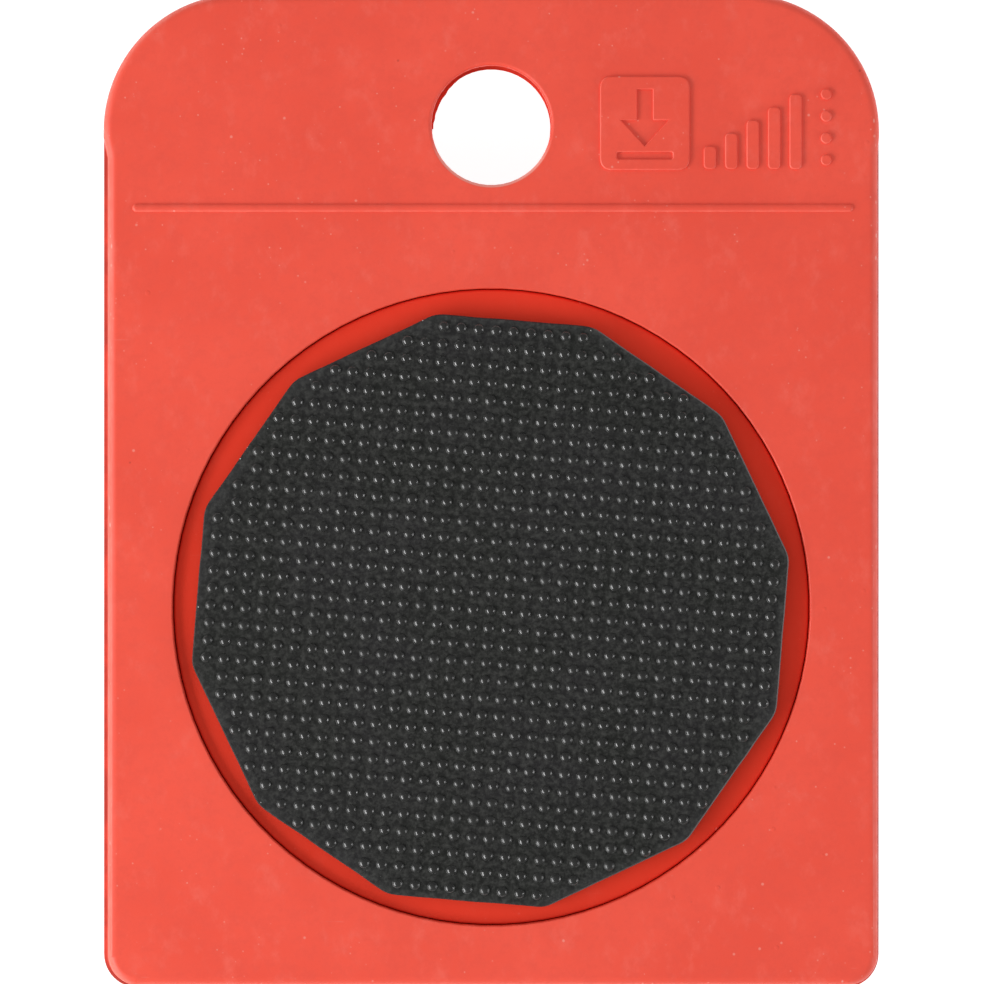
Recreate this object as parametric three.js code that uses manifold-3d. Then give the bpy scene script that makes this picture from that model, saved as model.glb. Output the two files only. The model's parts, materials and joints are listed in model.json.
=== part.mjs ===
// A furniture moving roller: a moulded plate on four wheels, with a free-turning disc that carries a rubber pad.
// Millimetres, +Z up. The origin is on the floor under the middle of the plate, and +Y points to the hanging tab.
import * as THREE from "three";
import { mergeVertices } from "three/addons/utils/BufferGeometryUtils.js";
import Module from "manifold-3d";

// The plate from above
const wellDiameter = 64; // round well that the turntable lies in
const sideMargin = 7; // well to the outside of a side skirt
const rearMargin = 6.35; // well to the rear end
const frontMargin = 8.15; // well to the raised line
const tabLength = 21.5; // raised line to the end of the tab
const tabCornerRadius = 13.8;
const rearCornerRadius = 3.4;
const innerCornerRadius = 1.2; // upright corners of the hollows
const edgeFillet = 1; // round along the plate's top edge
const skirtStep = 0.3; // the skirt stands this far outside the deck
const skirtLedge = 0.6; // below the top edge's round, where the skirt begins
const shoulderInset = 0.6; // end of a tab corner's round to the shoulder
const shoulderRun = 2; // length over which the deck narrows there
const holeDiameter = 12; // hanging hole
const holeInset = 13.26; // end of the tab to the hole's centre
const holeFillet = 0.4;
const lineWidth = 0.85; // raised line across the plate
const lineHeight = 0.35;
const lineInset = 2.4; // edge of the deck to the end of the line

// Walls, skins and ribs of the plate
const wallThickness = 2.5;
const tabThickness = 5;
const tabSkin = 2.2;
const tabRim = 2.2;
const collarWall = 2.2; // round the hanging hole, under the tab
const deckSkin = 2.4;
const wellSkin = 1.9; // floor of the well
const wellWall = 2;
const ribThickness = 2.2;
const tabRibSpacing = 13;
const lineToFrontWall = 0.5; // raised line to the front wall's outer face
const cheekInset = 12.7; // end of the tab to the end of the side skirts
const cheekToe = 2; // height of a skirt's front end, under the tab
const cheekCornerRadius = 1.2;
const skirtBottom = 5;

// Wheels and axles
const wheelDiameter = 18;
const wheelWidth = 12;
const wheelHeadroom = 0.8; // top of a wheel to the ceiling of its bay
const wheelSideClearance = 0.5;
const wheelRearClearance = 1.85; // rear wheels to the rear wall
const treadWidth = 11;
const treadThickness = 1.6;
const treadShoulder = 1;
const treadSeatGap = 0.05;
const coreHubDiameter = 9.2;
const coreRimThickness = 1.3;
const coreDish = 2; // depth of the hollow between hub and rim
const axleDiameter = 4;
const axleChamfer = 0.4;
const axleInset = 1.3; // inner face of the side wall to the end of an axle
const axleEndClearance = 0.3;
const runningClearance = 0.1; // all round an axle
const saddleDepth = 4; // outer saddles, from the side wall
const saddleLength = 12;
const saddleLip = 0.5; // the saddles reach this far under an axle
const keelArchDepth = 4.5; // the keel ribs rise this much between the axles
const keelArchRun = 5;

// Axle clips and their screws
const clipWidth = 9;
const clipThickness = 1;
const clipScrewOffset = 7; // axle to screw
const clipWallClearance = 0.35; // end of a clip's foot to the rear wall
const bossDiameter = 6.5;
const clipScrew = { diameter: 3, headDiameter: 5.6, headHeight: 1.9, headRound: 0.7 };
const clipScrewLength = 8;
const screwHoleClearance = 0.15;
const screwHoleRelief = 0.6; // a blind hole is this much deeper than its screw
const screwTipLength = 0.8;
const crossWidth = 0.8; // screwdriver cross
const crossMargin = 0.9; // end of the cross to the edge of the head
const crossDepth = 1;

// Turntable and pad
const turntableClearance = 0.3;
const slideRibHeight = 0.4; // the disc slides on two low rings
const slideRibWidth = 1.6;
const slideRibInset = 5; // well edge to the outer ring, and sleeve to the inner one
const slideGap = 0.1;
const discThickness = 1.8;
const discSetDown = 0.8; // top of the disc below the plate's top
const discEdgeRound = 0.3;
const hubDiameter = 14;
const hubClearance = 0.15;
const hubProud = 0.2; // the hub stands out of its sleeve, so the washer runs free
const sleeveWall = 2.8;
const sleeveDrop = 3.3; // sleeve below the ceiling of the wheel bays
const washerDiameter = 20;
const washerThickness = 1.2;
const pivotScrew = { diameter: 4, headDiameter: 8, headHeight: 2.6, headRound: 1 };
const pivotSkin = 0.7; // of the disc, above the end of the pivot screw's hole
const padSides = 12;
const padMargin = 1.4; // edge of the disc to the pad's corners
const padThickness = 1.8;
const padTurn = THREE.MathUtils.degToRad(-4.75);
const adhesiveInset = 0.5;
const adhesiveThickness = 0.2;

// Facets
const roundSegments = 28;
const largeSegments = 96;
const holeSegments = 48;
const smallSegments = 16;
const outlineSegments = 14; // in each corner of the deck
const cornerSegments = 6;
const filletSegments = 3;
const cutMargin = 1; // a cutting solid runs past what it cuts by this much

// Plan of the plate
const wellRadius = wellDiameter / 2;
const discRadius = wellRadius - turntableClearance;
const padRadius = discRadius - padMargin;
const halfWidth = wellRadius + sideMargin;
const plateLength = rearMargin + wellDiameter + frontMargin + tabLength;
const tabY = plateLength / 2;
const rearY = -plateLength / 2;
const turntableY = rearY + rearMargin + wellRadius;
const lineY = tabY - tabLength;
const holeY = tabY - holeInset;
const deckHalfWidth = halfWidth - skirtStep;
const deckRearY = rearY + skirtStep;
const bayHalfWidth = halfWidth - wallThickness;
const bayRearY = rearY + wallThickness;
const frontWallY = lineY - lineToFrontWall;
const bayFrontY = frontWallY - wallThickness;
const cheekY = tabY - cheekInset;

// Wheel places: a faceted wheel stands on a flat, so its axle is a flat's distance above the floor
const wheelRadius = wheelDiameter / 2;
const axleRadius = axleDiameter / 2;
const axleZ = wheelRadius * Math.cos(Math.PI / roundSegments);
const rearAxleY = bayRearY + wheelRearClearance + wheelRadius;
const frontAxleY = 2 * turntableY - rearAxleY;
const clipReach = rearAxleY - bayRearY - clipWallClearance; // axle to the end of a clip's foot
const saddleX = bayHalfWidth - saddleDepth;
const wheelX = saddleX - wheelSideClearance - wheelWidth / 2;
const keelX = wheelX - wheelWidth / 2 - wheelSideClearance; // outer face of a keel rib
const axleHalfLength = bayHalfWidth - axleInset;
const slotRadius = axleRadius + runningClearance;
const saddleZ = axleZ - axleRadius - saddleLip;

// Heights
const bayCeilingZ = wheelDiameter + wheelHeadroom;
const wellFloorZ = bayCeilingZ + wellSkin;
const discBottomZ = wellFloorZ + slideRibHeight + slideGap;
const discTopZ = discBottomZ + discThickness;
const deckZ = discTopZ + discSetDown;
const padBottomZ = discTopZ + adhesiveThickness;
const tabBottomZ = deckZ - tabThickness;
const skirtTopZ = deckZ - edgeFillet - skirtLedge;
const sleeveBottomZ = bayCeilingZ - sleeveDrop;
const hubBottomZ = sleeveBottomZ - hubProud;
const washerBottomZ = hubBottomZ - washerThickness;
const pivotHoleTopZ = discTopZ - pivotSkin;
const pivotLength = pivotHoleTopZ - screwHoleRelief - washerBottomZ;
const hubRadius = hubDiameter / 2;
const sleeveBoreRadius = hubRadius + hubClearance;
const sleeveRadius = sleeveBoreRadius + sleeveWall;

const wasm = await Module();
wasm.setup();

// A closed geometry as a solid that can be joined and cut
function solid(geometry) {
  const bare = geometry.index ? geometry.toNonIndexed() : geometry.clone();
  bare.deleteAttribute("normal");
  bare.deleteAttribute("uv");
  const merged = mergeVertices(bare);
  return new wasm.Manifold(
    new wasm.Mesh({
      numProp: 3,
      vertProperties: merged.attributes.position.array,
      triVerts: new Uint32Array(merged.index.array),
    }),
  );
}

function geometryOf(body) {
  const mesh = body.getMesh();
  const geometry = new THREE.BufferGeometry();
  geometry.setAttribute("position", new THREE.BufferAttribute(mesh.vertProperties, mesh.numProp));
  geometry.setIndex(new THREE.BufferAttribute(mesh.triVerts, 1));
  geometry.computeVertexNormals();
  return geometry;
}

function join(solids) {
  return solids.reduce((whole, next) => whole.add(next));
}

function block(x0, x1, y0, y1, z0, z1) {
  const geometry = new THREE.BoxGeometry(x1 - x0, y1 - y0, z1 - z0);
  return geometry.translate((x0 + x1) / 2, (y0 + y1) / 2, (z0 + z1) / 2);
}

// Turned round +Z from [radius, height] points, with the outside running upwards
function turned(points, segments) {
  const profile = points.map(([radius, height]) => new THREE.Vector2(radius, height));
  return new THREE.LatheGeometry(profile, segments, Math.PI / segments).rotateX(Math.PI / 2);
}

function rod(radius, z0, z1, segments = roundSegments) {
  return turned([[0, z0], [radius, z0], [radius, z1], [0, z1]], segments);
}

function ring(innerRadius, outerRadius, z0, z1, segments) {
  const profile = [[innerRadius, z0], [outerRadius, z0], [outerRadius, z1], [innerRadius, z1], [innerRadius, z0]];
  return turned(profile, segments);
}

// Turns what was made along +Z to lie along +X
function alongX(geometry) {
  return geometry.rotateY(Math.PI / 2);
}

// Points of a quarter round from one angle to another
function arc(centre, radius, from, to, segments = filletSegments) {
  return Array.from({ length: segments + 1 }, (_, i) => {
    const angle = from + ((to - from) * i) / segments;
    return [centre[0] + radius * Math.cos(angle), centre[1] + radius * Math.sin(angle)];
  });
}

function roundedOutline(x0, x1, y0, y1, rearRadius, frontRadius) {
  const outline = new THREE.Shape();
  outline.absarc(x1 - rearRadius, y0 + rearRadius, rearRadius, -Math.PI / 2, 0);
  outline.absarc(x1 - frontRadius, y1 - frontRadius, frontRadius, 0, Math.PI / 2);
  outline.absarc(x0 + frontRadius, y1 - frontRadius, frontRadius, Math.PI / 2, Math.PI);
  outline.absarc(x0 + rearRadius, y0 + rearRadius, rearRadius, Math.PI, 1.5 * Math.PI);
  outline.closePath();
  return outline;
}

function slab(outline, z0, z1) {
  const options = { depth: z1 - z0, bevelEnabled: false, curveSegments: cornerSegments };
  return new THREE.ExtrudeGeometry(outline, options).translate(0, 0, z0);
}

// A slab with its top and bottom edges rounded
function filletedSlab(outline, z0, z1, fillet) {
  const options = {
    depth: z1 - z0 - 2 * fillet,
    bevelThickness: fillet,
    bevelSize: fillet,
    bevelOffset: -fillet,
    bevelSegments: filletSegments,
    curveSegments: outlineSegments,
  };
  return new THREE.ExtrudeGeometry(outline, options).translate(0, 0, z0 + fillet);
}

function polygon(points) {
  return new THREE.Shape(points.map(([u, v]) => new THREE.Vector2(u, v)));
}

// A side-view outline, with Y to its right and Z up, carried along X
function acrossX(outline, x0, x1) {
  const options = { depth: x1 - x0, bevelEnabled: false, curveSegments: cornerSegments };
  const toSideView = new THREE.Matrix4().makeBasis(
    new THREE.Vector3(0, 1, 0),
    new THREE.Vector3(0, 0, 1),
    new THREE.Vector3(1, 0, 0),
  );
  return new THREE.ExtrudeGeometry(outline, options).applyMatrix4(toSideView).translate(x0, 0, 0);
}

// The deck from above: as wide as the skirt at the tab, and a step narrower behind the tab's shoulders
function deckOutline() {
  const rear = rearCornerRadius - skirtStep;
  const tabCornerY = tabY - tabCornerRadius;
  const shoulderY = tabCornerY - shoulderInset;
  const outline = new THREE.Shape();
  outline.absarc(deckHalfWidth - rear, deckRearY + rear, rear, -Math.PI / 2, 0);
  outline.lineTo(deckHalfWidth, shoulderY - shoulderRun);
  outline.lineTo(halfWidth, shoulderY);
  outline.absarc(halfWidth - tabCornerRadius, tabCornerY, tabCornerRadius, 0, Math.PI / 2);
  outline.absarc(tabCornerRadius - halfWidth, tabCornerY, tabCornerRadius, Math.PI / 2, Math.PI);
  outline.lineTo(-halfWidth, shoulderY);
  outline.lineTo(-deckHalfWidth, shoulderY - shoulderRun);
  outline.absarc(rear - deckHalfWidth, deckRearY + rear, rear, Math.PI, 1.5 * Math.PI);
  outline.closePath();
  return outline;
}

// The block under the deck: it fills the skirt's outline, and its front ends slope back under the tab
function skirtBlock() {
  const outline = roundedOutline(-halfWidth, halfWidth, rearY, cheekY, rearCornerRadius, cheekCornerRadius);
  const sideView = polygon([
    [rearY - cutMargin, skirtBottom],
    [frontWallY, skirtBottom],
    [cheekY, tabBottomZ - cheekToe],
    [cheekY + cutMargin, tabBottomZ - cheekToe],
    [cheekY + cutMargin, skirtTopZ],
    [rearY - cutMargin, skirtTopZ],
  ]);
  const side = acrossX(sideView, -halfWidth - cutMargin, halfWidth + cutMargin);
  return solid(slab(outline, skirtBottom, skirtTopZ)).intersect(solid(side));
}

// Ribs, saddles, bosses and the bearing sleeve that stand in the hollow under the plate
function bayRibs() {
  const saddleReach = saddleLength / 2;
  const archZ = saddleZ + keelArchDepth;
  const keel = polygon([
    [bayRearY - cutMargin, saddleZ],
    [rearAxleY + saddleReach, saddleZ],
    [rearAxleY + saddleReach + keelArchRun, archZ],
    [frontAxleY - saddleReach - keelArchRun, archZ],
    [frontAxleY - saddleReach, saddleZ],
    [bayFrontY + cutMargin, saddleZ],
    [bayFrontY + cutMargin, deckZ],
    [bayRearY - cutMargin, deckZ],
  ]);
  const ribs = [
    acrossX(keel, -keelX, -keelX + ribThickness),
    acrossX(keel, keelX - ribThickness, keelX),
    block(-ribThickness / 2, ribThickness / 2, bayRearY - cutMargin, bayFrontY + cutMargin, sleeveBottomZ, deckZ),
    block(-keelX, keelX, turntableY - ribThickness / 2, turntableY + ribThickness / 2, sleeveBottomZ, deckZ),
    rod(sleeveRadius, sleeveBottomZ, deckZ).translate(0, turntableY, 0),
  ];
  for (const axleY of [frontAxleY, rearAxleY]) {
    const y0 = axleY - saddleReach;
    const y1 = axleY + saddleReach;
    ribs.push(block(saddleX, bayHalfWidth + cutMargin, y0, y1, saddleZ, deckZ));
    ribs.push(block(-bayHalfWidth - cutMargin, -saddleX, y0, y1, saddleZ, deckZ));
    for (const screwY of [axleY - clipScrewOffset, axleY + clipScrewOffset])
      ribs.push(rod(bossDiameter / 2, axleZ, deckZ, smallSegments).translate(0, screwY, 0));
  }
  return join(ribs.map(solid));
}

// The hollow under the plate, with the ribs left standing
function bayHollow() {
  const outline = roundedOutline(
    -bayHalfWidth,
    bayHalfWidth,
    bayRearY,
    bayFrontY,
    innerCornerRadius,
    innerCornerRadius,
  );
  const lower = solid(slab(outline, -cutMargin, bayCeilingZ));
  const corners = solid(slab(outline, bayCeilingZ - cutMargin, deckZ - deckSkin));
  const wellCup = solid(rod(wellRadius + wellWall, -cutMargin, deckZ, largeSegments).translate(0, turntableY, 0));
  return lower.add(corners.subtract(wellCup)).subtract(bayRibs());
}

// The shallow hollow under the tab, with a collar round the hole and ribs left standing
function tabHollow() {
  const outline = roundedOutline(
    -deckHalfWidth + tabRim,
    deckHalfWidth - tabRim,
    frontWallY,
    tabY - tabRim,
    innerCornerRadius,
    tabCornerRadius - tabRim,
  );
  const hollow = solid(slab(outline, tabBottomZ - cutMargin, deckZ - tabSkin));
  const kept = [rod(holeDiameter / 2 + collarWall, tabBottomZ - 2 * cutMargin, deckZ).translate(0, holeY, 0)];
  for (const step of [-2, -1, 1, 2]) {
    const x = step * tabRibSpacing;
    const half = ribThickness / 2;
    kept.push(block(x - half, x + half, frontWallY - cutMargin, tabY, tabBottomZ - 2 * cutMargin, deckZ));
  }
  return hollow.subtract(join(kept.map(solid)));
}

// The space between the skirts' front ends, under the tab
function gripHollow() {
  return solid(block(-bayHalfWidth, bayHalfWidth, frontWallY, tabY + cutMargin, -cutMargin, tabBottomZ));
}

function hangingHole() {
  const radius = holeDiameter / 2;
  const flare = arc([radius + holeFillet, deckZ - holeFillet], holeFillet, Math.PI, Math.PI / 2);
  const profile = [
    [0, tabBottomZ - cutMargin],
    [radius, tabBottomZ - cutMargin],
    ...flare,
    [radius + holeFillet, deckZ + cutMargin],
    [0, deckZ + cutMargin],
  ];
  return solid(turned(profile, holeSegments).translate(0, holeY, 0));
}

// Everything that is cut out of the plate for the turntable, the axles and the screws
function plateCuts() {
  const cuts = [
    rod(wellRadius, wellFloorZ, deckZ + cutMargin, largeSegments).translate(0, turntableY, 0),
    rod(sleeveBoreRadius, sleeveBottomZ - cutMargin, wellFloorZ + cutMargin).translate(0, turntableY, 0),
  ];
  const slotEnd = axleHalfLength + axleEndClearance;
  const screwRadius = clipScrew.diameter / 2 + screwHoleClearance;
  const screwReach = axleZ - clipThickness + clipScrewLength + screwHoleRelief;
  for (const axleY of [frontAxleY, rearAxleY]) {
    cuts.push(alongX(rod(slotRadius, -slotEnd, slotEnd)).translate(0, axleY, axleZ));
    cuts.push(block(-slotEnd, slotEnd, axleY - slotRadius, axleY + slotRadius, -cutMargin, axleZ));
    for (const screwY of [axleY - clipScrewOffset, axleY + clipScrewOffset])
      cuts.push(rod(screwRadius, axleZ - cutMargin, screwReach, smallSegments).translate(0, screwY, 0));
  }
  return join(cuts.map(solid));
}

function slideRings() {
  const rings = [];
  for (const outer of [wellRadius - slideRibInset, sleeveRadius + slideRibInset]) {
    const top = wellFloorZ + slideRibHeight;
    rings.push(ring(outer - slideRibWidth, outer, wellFloorZ - wellSkin / 2, top, roundSegments));
  }
  return join(rings.map((each) => solid(each.translate(0, turntableY, 0))));
}

function raisedLine() {
  const end = deckHalfWidth - lineInset;
  const half = lineWidth / 2;
  const outline = roundedOutline(-end, end, lineY - half, lineY + half, half, half);
  return solid(slab(outline, deckZ - deckSkin / 2, deckZ + lineHeight));
}

function basePlate() {
  const deck = solid(filletedSlab(deckOutline(), tabBottomZ, deckZ, edgeFillet));
  const shell = deck.add(skirtBlock()).subtract(bayHollow()).subtract(gripHollow()).subtract(tabHollow());
  return shell.subtract(plateCuts()).add(slideRings()).add(raisedLine()).subtract(hangingHole());
}

function turntableDisc() {
  const screwRadius = pivotScrew.diameter / 2 + screwHoleClearance;
  const rim = arc([discRadius - discEdgeRound, discTopZ - discEdgeRound], discEdgeRound, 0, Math.PI / 2);
  const profile = [
    [0, pivotHoleTopZ],
    [screwRadius, pivotHoleTopZ],
    [screwRadius, hubBottomZ],
    [hubRadius, hubBottomZ],
    [hubRadius, discBottomZ],
    [discRadius, discBottomZ],
    ...rim,
    [0, discTopZ],
  ];
  return turned(profile, largeSegments);
}

// A pan-head screw with its head's seat at z = 0, the shank up and the head down
function panHeadScrew({ diameter, headDiameter, headHeight, headRound }, length) {
  const radius = diameter / 2;
  const headRadius = headDiameter / 2;
  const dome = arc([headRadius - headRound, headRound - headHeight], headRound, -Math.PI / 2, 0);
  const profile = [
    [0, -headHeight],
    ...dome,
    [headRadius, 0],
    [radius, 0],
    [radius, length - screwTipLength],
    [radius - screwTipLength, length],
    [0, length],
  ];
  const reach = headRadius - crossMargin;
  const half = crossWidth / 2;
  const crossTop = crossDepth - headHeight;
  const cross = join([
    solid(block(-reach, reach, -half, half, -headHeight - cutMargin, crossTop)),
    solid(block(-half, half, -reach, reach, -headHeight - cutMargin, crossTop)),
  ]);
  return geometryOf(solid(turned(profile, smallSegments)).subtract(cross));
}

function padSheet(radius, z0, z1) {
  return rod(radius, z0, z1, padSides).rotateZ(padTurn);
}

function wheelCore() {
  const half = wheelWidth / 2;
  const tread = treadWidth / 2;
  const bore = axleRadius + runningClearance;
  const hub = coreHubDiameter / 2;
  const outer = wheelRadius - treadThickness;
  const rim = outer - coreRimThickness;
  const web = half - coreDish;
  const profile = [
    [bore, -half],
    [hub, -half],
    [hub, -web],
    [rim, -web],
    [rim, -tread],
    [outer, -tread],
    [outer, tread],
    [rim, tread],
    [rim, web],
    [hub, web],
    [hub, half],
    [bore, half],
    [bore, -half],
  ];
  return alongX(turned(profile, roundSegments));
}

function wheelTyre() {
  const tread = treadWidth / 2;
  const seat = wheelRadius - treadThickness + treadSeatGap;
  const shoulder = wheelRadius - treadShoulder;
  const profile = [
    [seat, -tread],
    ...arc([shoulder, treadShoulder - tread], treadShoulder, -Math.PI / 2, 0),
    ...arc([shoulder, tread - treadShoulder], treadShoulder, 0, Math.PI / 2),
    [seat, tread],
    [seat, -tread],
  ];
  return alongX(turned(profile, roundSegments));
}

function axlePin() {
  const end = axleHalfLength;
  const profile = [
    [0, -end],
    [axleRadius - axleChamfer, -end],
    [axleRadius, axleChamfer - end],
    [axleRadius, end - axleChamfer],
    [axleRadius - axleChamfer, end],
    [0, end],
  ];
  return alongX(turned(profile, roundSegments));
}

// A bent strip that passes under an axle, with a screwed foot on each side; its feet's upper faces are at z = 0
function axleClip() {
  const inner = slotRadius;
  const outer = inner + clipThickness;
  const meet = Math.asin(clipThickness / outer);
  const outline = new THREE.Shape();
  outline.moveTo(-clipReach, 0);
  outline.absarc(0, 0, inner, Math.PI, 2 * Math.PI, false);
  outline.lineTo(clipReach, 0);
  outline.lineTo(clipReach, -clipThickness);
  outline.absarc(0, 0, outer, -meet, meet - Math.PI, true);
  outline.lineTo(-clipReach, -clipThickness);
  outline.closePath();
  const strip = solid(acrossX(outline, -clipWidth / 2, clipWidth / 2));
  const holeRadius = clipScrew.diameter / 2 + screwHoleClearance;
  const holes = [-clipScrewOffset, clipScrewOffset].map((y) =>
    solid(rod(holeRadius, -clipThickness - cutMargin, cutMargin, smallSegments).translate(0, y, 0)),
  );
  return geometryOf(strip.subtract(join(holes)));
}

const redPlastic = { color: 0xe85745, roughness: 0.45, metalness: 0 };
const padRubber = { color: 0x2f302d, roughness: 0.6, metalness: 0 };
const adhesiveFilm = { color: 0xb9b4a6, roughness: 0.7, metalness: 0 };
const steel = { color: 0xb4b6b8, roughness: 0.35, metalness: 1 };
const wheelPlastic = { color: 0x232426, roughness: 0.5, metalness: 0 };
const tyreRubber = { color: 0x4a4b4d, roughness: 0.8, metalness: 0 };

function piece(name, geometry, finish) {
  const mesh = new THREE.Mesh(geometry, new THREE.MeshStandardMaterial(finish));
  mesh.name = name;
  return mesh;
}

// The disc and what turns with it, round an upright axis
function turntable() {
  const group = new THREE.Group();
  group.position.set(0, turntableY, 0);
  const pivotHole = pivotScrew.diameter / 2 + screwHoleClearance;
  const screw = piece("pivot_screw", panHeadScrew(pivotScrew, pivotLength), steel);
  screw.position.z = washerBottomZ;
  group.add(
    piece("turntable_disc", turntableDisc(), redPlastic),
    piece("pad_adhesive", padSheet(padRadius - adhesiveInset, discTopZ, padBottomZ), adhesiveFilm),
    piece("grip_pad", padSheet(padRadius, padBottomZ, padBottomZ + padThickness), padRubber),
    piece("pivot_washer", ring(pivotHole, washerDiameter / 2, washerBottomZ, hubBottomZ, roundSegments), steel),
    screw,
  );
  return group;
}

// An axle with its two wheels, and the clip and screws that hold it up
function axleSet(end, axleY) {
  const group = new THREE.Group();
  group.position.set(0, axleY, axleZ);
  group.add(piece("axle_" + end, axlePin(), steel));
  group.add(piece("axle_clip_" + end, axleClip(), steel));
  for (const [place, side] of [["fore", 1], ["aft", -1]]) {
    const screw = piece("clip_screw_" + end + "_" + place, panHeadScrew(clipScrew, clipScrewLength), steel);
    screw.position.set(0, side * clipScrewOffset, -clipThickness);
    group.add(screw);
  }
  for (const [place, side] of [["left", -1], ["right", 1]]) {
    const wheel = new THREE.Group();
    wheel.position.x = side * wheelX;
    wheel.add(piece("wheel_core_" + end + "_" + place, wheelCore(), wheelPlastic));
    wheel.add(piece("tyre_" + end + "_" + place, wheelTyre(), tyreRubber));
    group.add(wheel);
  }
  return group;
}

const roller = new THREE.Group();
roller.add(piece("base_plate", geometryOf(basePlate()), redPlastic));
roller.add(turntable(), axleSet("front", frontAxleY), axleSet("rear", rearAxleY));

export default roller;
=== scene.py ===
# A furniture moving roller, seen straight from above: a red moulded plate on four wheels, with a disc that
# turns freely and carries a dotted rubber pad.
# Metres, +Z up, +Y towards the hanging tab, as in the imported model.
import json
import math
import random

import bmesh
import bpy
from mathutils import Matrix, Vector, noise
from mathutils.geometry import delaunay_2d_cdt

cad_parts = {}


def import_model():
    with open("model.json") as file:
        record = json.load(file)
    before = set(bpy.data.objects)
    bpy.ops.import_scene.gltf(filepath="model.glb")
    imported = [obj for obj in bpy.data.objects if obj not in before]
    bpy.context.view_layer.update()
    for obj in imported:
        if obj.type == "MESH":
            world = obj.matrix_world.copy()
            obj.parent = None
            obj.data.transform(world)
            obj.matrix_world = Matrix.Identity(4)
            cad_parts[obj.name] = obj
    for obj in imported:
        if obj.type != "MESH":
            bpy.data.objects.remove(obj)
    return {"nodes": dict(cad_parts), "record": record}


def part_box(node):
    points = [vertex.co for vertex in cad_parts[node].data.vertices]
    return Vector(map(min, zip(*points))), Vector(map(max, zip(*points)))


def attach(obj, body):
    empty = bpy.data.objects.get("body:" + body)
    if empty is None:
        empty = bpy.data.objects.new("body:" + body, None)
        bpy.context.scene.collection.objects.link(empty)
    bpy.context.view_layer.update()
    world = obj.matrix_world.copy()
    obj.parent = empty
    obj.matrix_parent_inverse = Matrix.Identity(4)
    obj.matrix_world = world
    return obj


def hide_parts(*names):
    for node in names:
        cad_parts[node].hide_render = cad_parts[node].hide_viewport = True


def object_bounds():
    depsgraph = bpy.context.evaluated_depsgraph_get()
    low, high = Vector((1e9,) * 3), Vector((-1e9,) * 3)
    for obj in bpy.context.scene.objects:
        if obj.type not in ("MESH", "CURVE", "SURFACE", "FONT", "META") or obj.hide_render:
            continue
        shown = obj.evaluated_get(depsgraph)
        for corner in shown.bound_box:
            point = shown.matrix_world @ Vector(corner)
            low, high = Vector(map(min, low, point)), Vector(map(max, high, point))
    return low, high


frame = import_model()
cad_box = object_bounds()
nodes = frame["nodes"]

MM = 0.001

# The picture
IMAGE_SIDE = 984  # pixels
PIXELS_PER_MM = 9.965  # at the plate's top
CAMERA_HEIGHT = 450 * MM  # above the plate's top
CAMERA_OFFSET = Vector((0.07, -0.1)) * MM  # from the middle of the plate
FLOOR_HALF = 3  # half the side of the square floor
FLOOR_DROP = 0.05 * MM  # keeps the floor clear of the treads
FLOOR_GLOW = 0.88  # what the floor shows by itself; the light on it makes up the rest to white

# The plate
LINE_HEIGHT = 0.35 * MM  # raised line, the plate's highest feature
LINE_WIDTH = 0.82 * MM
LINE_TO_TAB_END = 21.6 * MM
LINE_END_TO_SIDE = 2.82 * MM
LINE_FULLNESS = 0.85  # share of its full height that the soft line reaches on average
LINE_WOBBLE = 0.1
LINE_WOBBLE_LENGTH = 1.8 * MM
LINE_SINK = 0.02 * MM  # its foot lies a little under the deck's face
DECK_SHIFT = 0.15 * MM  # the deck's face is moulded a little to the right of the skirt
SHIFT_FADE = (5 * MM, 1.5 * MM)  # from the side, where the shift starts and where it is full
SKIRT_STRIP = 0.2 * MM  # outermost strip, which stays in place
DECK_ROUND = 1 * MM
SHOULDER_TO_TAB_END = (14.4 * MM, 16.4 * MM)  # where the deck narrows behind the tab
PLATE_EDGE_ROUND = 0.18 * MM
HOLE_ROUND = 0.34 * MM
WELL_RADIUS = 32 * MM
HOLE_RADIUS = 6 * MM
HOLE_TO_TAB_END = 13.26 * MM
TAB_THICKNESS = 5 * MM
FLASH_REACH = 0.09 * MM  # moulding flash inside the hole
FLASH_THICKNESS = 0.35 * MM
FLASH_ROOT = 0.1 * MM  # how far it reaches into the wall
FLASH_GAP = (181, 211)  # degrees round the hole where the flash is broken off
FLASH_WIDEST = 515  # degrees, counted on past the full turn
FLASH_SPREAD = 30  # degrees
FLASH_SHARES = (0.35, 2.25)  # of the reach: everywhere, and more where it is widest
FLASH_RAGGEDNESS = 0.5
FLASH_RAGGED_SCALE = 9
FLASH_STEPS = 150

# The signs moulded beside the hole, in millimetres from the middle of the plate
SIGN_PLATE = (10.9, 19.9, 32.2, 41.6)  # left, right, near and far side
SIGN_PLATE_CORNER = 1.2
SIGN_ARROW = (
    (14.6, 40.3), (14.6, 37.2), (13.0, 37.2), (15.4, 34.6), (17.8, 37.2), (16.2, 37.2), (16.2, 40.3),
)
SIGN_FOOT = (12.6, 18.2, 33.3, 34.0)
SIGN_FOOT_CORNER = 0.2
BAR_COUNT = 5
BAR_LEFT = 21.3
BAR_PITCH = 2.15
BAR_WIDTH = 1.25
BAR_NEAR = 32.3
BAR_FAR = 34.6  # the lowest bar's far end
BAR_RISE = 1.3
BAR_CORNER = 0.5
SIGN_DOT_X = 33.6
SIGN_DOT_YS = (33.2, 35.4, 37.6, 39.8)
SIGN_DOT_RADIUS = 0.55
SIGN_DOT_SIDES = 24
SIGN_CORNER_STEPS = 5
SIGN_HEIGHT = 0.3 * MM
SIGN_SOFTNESS = 0.14 * MM

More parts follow.
